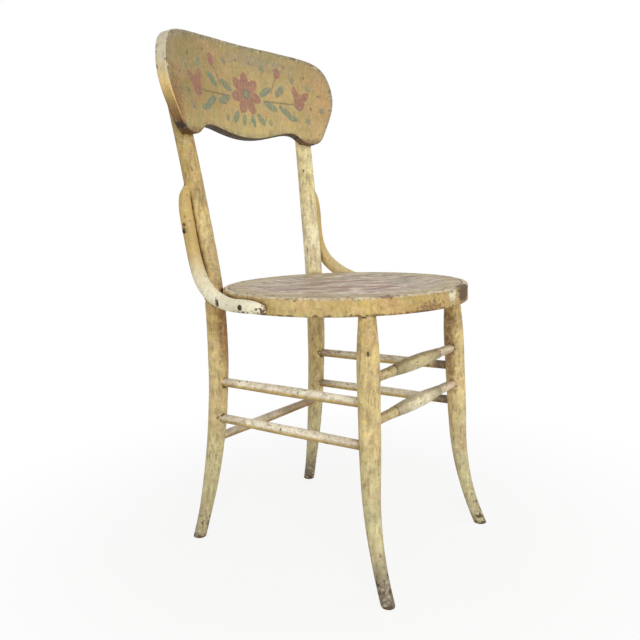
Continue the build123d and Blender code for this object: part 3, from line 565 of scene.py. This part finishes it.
def rail_paint(paint, stencil):
    """Oil paint on the crest rail, dark at the top and the right end, with a greenish rubbed rim and a stencil."""
    finish, tree, place = new_finish("stencilled_oil_paint_on_crest_rail")
    normal = add(tree, "ShaderNodeNewGeometry", out="Normal")
    right_end = fade(tree, place, (-1, 0, 0), -0.02, 0.17)
    left_end = fade(tree, place, (1, 0, 0), 0.08, 0.21)
    top = fade(tree, place, (0, 0, 1), RAIL_HIGH.z - 0.085, RAIL_HIGH.z - 0.005)
    clouds = blotches(tree, place, 34.0, 0.42, 0.62, seed=12.0)
    coat = brush_over(tree, RAIL_MIDDLE, RAIL_RIGHT, right_end, 0.85)
    coat = brush_over(tree, coat, RAIL_LEFT, left_end, 0.60)
    coat = brush_over(tree, coat, RAIL_TOP, top, 0.50)
    bottom = fade(tree, place, (0, 0, -1), -RAIL_LOW.z - 0.070, -RAIL_LOW.z - 0.020)
    coat = brush_over(tree, coat, RAIL_BOTTOM, bottom, 0.45)
    coat = brush_over(tree, coat, RAIL_ROSY, clouds, 0.30)
    coat = brush_over(tree, coat, RAIL_GREENISH, blotches(tree, place, 40.0, 0.46, 0.62, seed=16.0), 0.26)
    coat = stencilled(tree, place, coat, stencil)
    # The rim was rubbed to a greyish green undercoat, less so along the bottom.
    above = fade(tree, place, (0, 0, 1), RAIL_LOW.z + 0.02, RAIL_LOW.z + 0.06)
    less_below = add(tree, "ShaderNodeMapRange", {"Value": above, "To Min": 0.5})
    rim = both(tree, worn_edges(tree, 0.012, 0.97, 0.72), less_below)
    for tint, size, low, high, seed, strength in ((RIM_UNDERCOAT, 9.0, 0.34, 0.56, 13.0, 0.90),
                                                  (RIM_DIRT, 5.5, 0.53, 0.59, 14.0, 0.80),
                                                  (paint.cream, 6.0, 0.56, 0.64, 15.0, 0.55)):
        rubbed = both(tree, rim, blotches(tree, place, size, low, high, seed=seed))
        coat = brush_over(tree, coat, tint, rubbed, strength)
    # A scraped stretch along the top, and burnt and stained paint at the right end.
    scraped = patch(tree, place, (40, 170, 846), (95, 60, 17), grain=9.0, ragged=2.2)
    coat = brush_over(tree, coat, SCRAPED_GREY, scraped, 0.50)
    burnt = patch(tree, place, (-195, 158, 735), (22, 30, 46), grain=12.0, ragged=1.6)
    coat = brush_over(tree, coat, BURNT_ORANGE, burnt, 0.40)
    stains = patch(tree, place, (-200, 158, 738), (20, 30, 52), grain=3.5, ragged=4.5)
    coat = brush_over(tree, coat, STAIN_BROWN, stains, 0.60)
    # The right end's face is white above, yellow in the middle and orange below.
    outward = both(tree, fade(tree, normal, (-0.93, -0.27, 0.25), 0.42, 0.62),
                   fade(tree, place, (-1, 0, 0), 0.13, 0.17))
    end_high = fade(tree, place, (0, 0, 1), RAIL_LOW.z + 0.055, RAIL_LOW.z + 0.120)
    end_low = fade(tree, place, (0, 0, 1), RAIL_LOW.z + 0.060, RAIL_LOW.z + 0.015)
    end_coat = brush_over(tree, SAWN_YELLOW, SAWN_WHITE, end_high, 0.95)
    end_coat = brush_over(tree, end_coat, SAWN_ORANGE, end_low, 0.80)
    coat = brush_over(tree, coat, end_coat, outward)
    # Every face that looks down is darkened almost to black-brown: partly dirt, partly painted shade under the rail.
    coat = brush_over(tree, coat, UNDERSIDE_DIRT_AND_SHADE, fade(tree, normal, (0, 0, -1), 0.25, 0.60))
    # Grime where the posts meet the lower edge.
    for x in (-150, 150):
        smear = patch(tree, place, (x, 170, 702), (44, 40, 13), ragged=1.4)
        coat = brush_over(tree, coat, paint.grime_and_shade, smear, 0.55)
    weathered(tree, place, coat, (0.8, 1.0, 0.4), paint, chips=0.67, uneven=0.34, flecked=0.5)
    return finish


def seat_finish(paint, seat):
    """Several coats of paint worn through on the dished veneer: streaks of brown, red and white, olive at the rim."""
    finish, tree, place = new_finish("worn_paint_on_birch_veneer")
    flat = add(tree, "ShaderNodeVectorMath", {0: place, 1: SEAT_MIDDLE}, operation="SUBTRACT")
    # The veneer's grain runs aslant, and the wear follows it.
    grain = add(tree, "ShaderNodeMapping", {"Vector": flat, "Rotation": (0, 0, radians(-50)),
                                            "Scale": (3.0, 1.0, 1.0)}, vector_type="TEXTURE")
    size = seat.streak * 1000
    brown = blotches(tree, grain, size, 0.44, 0.60, detail=8.0, seed=1.0)
    pale = blotches(tree, grain, size * 0.6, 0.54, 0.66, detail=8.0, seed=2.0)
    red = blotches(tree, grain, size * 1.6, 0.50, 0.60, detail=7.0, seed=3.6)
    fine = blotches(tree, grain, 4.0, 0.46, 0.62, detail=6.0, seed=4.0)
    level = add(tree, "ShaderNodeVectorMath", {0: flat, 1: (1, 1, 0)}, operation="MULTIPLY")
    away = add(tree, "ShaderNodeVectorMath", {0: level}, out="Value", operation="LENGTH")
    border = add(tree, "ShaderNodeMapRange", {"Value": away, "From Min": 0.150, "From Max": 0.178},
                 interpolation_type="SMOOTHSTEP")
    middle = add(tree, "ShaderNodeMapRange", {"Value": away, "From Min": 0.155, "From Max": 0.07},
                 interpolation_type="SMOOTHSTEP")
    coat = brush_over(tree, seat.tan, seat.brown, brown, 0.75)
    coat = brush_over(tree, coat, seat.red, both(tree, red, middle), 0.90)
    coat = brush_over(tree, coat, seat.brown, fine, 0.50)
    coat = brush_over(tree, coat, seat.pale, pale, 0.75)
    coat = brush_over(tree, coat, seat.olive, border, 0.60)
    weathered(tree, place, coat, (0.6, 0.6, 1.0), paint, edge_wear=0, chips=0.67, corner_painted_shade=0.7,
              uneven=0.6, flecked=0.6)
    return finish


# ---- Operators ----
class SIDECHAIR_OT_posts_and_legs(bpy.types.Operator):
    """Paint the bent rear posts and the front legs"""
    bl_idname = "side_chair.posts_and_legs"
    bl_label = "Posts and Legs"

    def execute(self, context):
        dress(pair("rear_post") + pair("front_leg"), leg_paint(context.scene.side_chair_paint))
        return {"FINISHED"}


class SIDECHAIR_OT_stretchers(bpy.types.Operator):
    """Paint the turned stretchers between the legs"""
    bl_idname = "side_chair.stretchers"
    bl_label = "Stretchers"

    def execute(self, context):
        paint = context.scene.side_chair_paint
        sides = pair("side_stretcher_upper") + pair("side_stretcher_lower")
        dress(sides, stretcher_paint("oil_paint_on_side_dowels", (1.0, 0.45, 1.0), paint))
        dress(["rear_stretcher"], stretcher_paint("oil_paint_on_rear_dowel", (0.45, 1.0, 1.0), paint))
        dress(["front_stretcher_upper", "front_stretcher_lower"], bobbin_paint(paint))
        return {"FINISHED"}


class SIDECHAIR_OT_seat(bpy.types.Operator):
    """Paint the seat ring and its dished panel"""
    bl_idname = "side_chair.seat"
    bl_label = "Seat"

    def execute(self, context):
        paint = context.scene.side_chair_paint
        dress(["seat_frame"], ring_paint(paint))
        dress(["seat_panel"], seat_finish(paint, context.scene.side_chair_seat))
        return {"FINISHED"}


class SIDECHAIR_OT_hip_braces(bpy.types.Operator):
    """Paint the bent braces between posts and seat"""
    bl_idname = "side_chair.hip_braces"
    bl_label = "Hip Braces"

    def execute(self, context):
        dress(pair("hip_brace"), brace_paint(context.scene.side_chair_paint))
        return {"FINISHED"}


class SIDECHAIR_OT_crest_rail(bpy.types.Operator):
    """Paint the crest rail and lay the stencil on its front"""
    bl_idname = "side_chair.crest_rail"
    bl_label = "Crest Rail"

    def execute(self, context):
        scene = context.scene
        dress(["crest_rail"], rail_paint(scene.side_chair_paint, scene.side_chair_stencil))
        return {"FINISHED"}


class SIDECHAIR_OT_fasteners(bpy.types.Operator):
    """Darken the screws, bolts, nuts and washers"""
    bl_idname = "side_chair.fasteners"
    bl_label = "Fasteners"

    def execute(self, context):
        dress(["crest_screws", "brace_seat_screws", "brace_post_screws", "post_bolts", "bolt_washers", "bolt_nuts"],
              iron_finish("age_darkened_iron"))
        return {"FINISHED"}


class SIDECHAIR_OT_brads(bpy.types.Operator):
    """Drive the domed brads that hold the seat panel"""
    bl_idname = "side_chair.brads"
    bl_label = "Brads"

    def execute(self, context):
        finish = iron_finish("painted_over_iron_brads")
        heads = plain_piece("seat_brad_heads", brad_tree(context.scene.side_chair_brads, finish))
        if not heads.data.polygons:
            raise RuntimeError("the brads came out empty")
        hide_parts("seat_brads")
        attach(heads, "root")
        return {"FINISHED"}


class SIDECHAIR_OT_studio(bpy.types.Operator):
    """Set up the floor, the soft lamps, the sky and the camera"""
    bl_idname = "side_chair.studio"
    bl_label = "Studio"

    def execute(self, context):
        studio = context.scene.side_chair_studio
        self.floor(studio)
        self.sky(context.scene, studio)
        self.lamp("key_lamp", studio.key, (-2.1, -2.2, 2.0))
        self.lamp("fill_lamp", studio.fill, (1.6, -2.6, 1.8))
        self.camera(context.scene, studio)
        context.scene.view_settings.view_transform = "Standard"
        return {"FINISHED"}

    def floor(self, studio):
        """A matt white paper floor that glows like the sky, so no horizon shows.

        Within 0.25 m of the middle it glows at 84 %, which leaves a faint shadow, and from 0.9 m on in full.
        """
        mesh = bpy.data.meshes.new("floor")
        reach = 60.0
        corners = [(-reach, -reach, 0), (reach, -reach, 0), (reach, reach, 0), (-reach, reach, 0)]
        mesh.from_pydata(corners, [], [(0, 1, 2, 3)])
        floor = bpy.data.objects.new("floor", mesh)
        bpy.context.scene.collection.objects.link(floor)
        finish, tree, place = new_finish("white_paper_backdrop")
        away = add(tree, "ShaderNodeVectorMath", {0: place}, out="Value", operation="LENGTH")
        far = add(tree, "ShaderNodeMapRange", {"Value": away, "From Min": 0.25, "From Max": 0.9, "To Min": 0.84,
                                               "To Max": 1.0}, interpolation_type="SMOOTHSTEP")
        seen = add(tree, "ShaderNodeLightPath", out="Is Camera Ray")
        share = add(tree, "ShaderNodeMath", {0: far, 1: seen}, operation="MULTIPLY")
        paper = add(tree, "ShaderNodeBsdfDiffuse", {"Color": studio.floor})
        glow = add(tree, "ShaderNodeEmission", {"Color": (1, 1, 1, 1), "Strength": 1.0})
        surface = add(tree, "ShaderNodeMixShader", {0: share, 1: paper, 2: glow})
        add(tree, "ShaderNodeOutputMaterial", {"Surface": surface})
        mesh.materials.append(finish)

    def sky(self, scene, studio):
        """An even white room. The camera and mirrors see plain white."""
        world = bpy.data.worlds.new("white_room")
        world.use_nodes = True
        tree = world.node_tree
        tree.nodes.clear()
        path = tree.nodes.new("ShaderNodeLightPath")
        shown = add(tree, "ShaderNodeMath", {0: path.outputs["Is Camera Ray"], 1: path.outputs["Is Glossy Ray"]},
                    operation="MAXIMUM")
        strength = add(tree, "ShaderNodeMix", {0: shown, 2: studio.sky, 3: 1.0}, data_type="FLOAT")
        air = add(tree, "ShaderNodeBackground", {"Color": (1, 1, 1, 1), "Strength": strength})
        add(tree, "ShaderNodeOutputWorld", {"Surface": air})
        scene.world = world

    def lamp(self, name, power, place):
        """A square soft lamp, 1.8 m wide, that looks at the seat."""
        light = bpy.data.lights.new(name, "AREA")
        light.energy = power
        light.size = 1.8
        lamp = bpy.data.objects.new(name, light)
        lamp.location = place
        lamp.rotation_euler = (SEAT_MIDDLE - lamp.location).to_track_quat("-Z", "Y").to_euler()
        bpy.context.scene.collection.objects.link(lamp)

    def camera(self, scene, studio):
        """Stands to the front and right of the chair, a little above the seat, and looks down slightly."""
        yaw, pitch, roll = 0.9269, 0.1581, -0.0287  # radians
        stand = Vector((-0.9456, -0.6556 + SEAT_MIDDLE.y, 0.5709))
        ahead = Vector((sin(yaw) * cos(pitch), cos(yaw) * cos(pitch), -sin(pitch)))
        right = Vector((cos(yaw), -sin(yaw), 0))
        up = right.cross(ahead)
        across = cos(roll) * right + sin(roll) * up
        upright = cos(roll) * up - sin(roll) * right
        data = bpy.data.cameras.new("camera")
        data.sensor_width = 36.0
        data.lens = studio.lens
        data.clip_start = 0.05
        camera = bpy.data.objects.new("camera", data)
        turned = Matrix((across, upright, -ahead)).transposed().to_4x4()
        camera.matrix_world = Matrix.Translation(stand) @ turned
        scene.collection.objects.link(camera)
        scene.camera = camera


class SIDECHAIR_PT_sidebar(bpy.types.Panel):
    bl_idname = "SIDECHAIR_PT_sidebar"
    bl_label = "Side Chair"
    bl_space_type = "VIEW_3D"
    bl_region_type = "UI"
    bl_category = "Side Chair"

    def draw(self, context):
        for group in GROUPS:
            settings = getattr(context.scene, group)
            box = self.layout.box()
            for name in settings.bl_rna.properties.keys():
                if name not in ("rna_type", "name"):
                    box.prop(settings, name)
        for operator in OPERATORS:
            self.layout.operator(operator.bl_idname)


GROUPS = {
    "side_chair_paint": SIDECHAIR_PG_paint,
    "side_chair_stencil": SIDECHAIR_PG_stencil,
    "side_chair_seat": SIDECHAIR_PG_seat,
    "side_chair_brads": SIDECHAIR_PG_brads,
    "side_chair_studio": SIDECHAIR_PG_studio,
}
OPERATORS = (
    SIDECHAIR_OT_studio,
    SIDECHAIR_OT_posts_and_legs,
    SIDECHAIR_OT_stretchers,
    SIDECHAIR_OT_seat,
    SIDECHAIR_OT_hip_braces,
    SIDECHAIR_OT_crest_rail,
    SIDECHAIR_OT_fasteners,
    SIDECHAIR_OT_brads,
)


def register():
    for group in GROUPS.values():
        bpy.utils.register_class(group)
    for name, group in GROUPS.items():
        setattr(bpy.types.Scene, name, PointerProperty(type=group))
    for operator in OPERATORS:
        bpy.utils.register_class(operator)
    bpy.utils.register_class(SIDECHAIR_PT_sidebar)


def unregister():
    bpy.utils.unregister_class(SIDECHAIR_PT_sidebar)
    for operator in reversed(OPERATORS):
        bpy.utils.unregister_class(operator)
    for name, group in GROUPS.items():
        delattr(bpy.types.Scene, name)
        bpy.utils.unregister_class(group)


def main():
    register()
    bpy.ops.side_chair.studio()
    bpy.ops.side_chair.posts_and_legs()
    bpy.ops.side_chair.stretchers()
    bpy.ops.side_chair.seat()
    bpy.ops.side_chair.hip_braces()
    bpy.ops.side_chair.crest_rail()
    bpy.ops.side_chair.fasteners()
    bpy.ops.side_chair.brads()


if __name__ == "__main__":
    main()
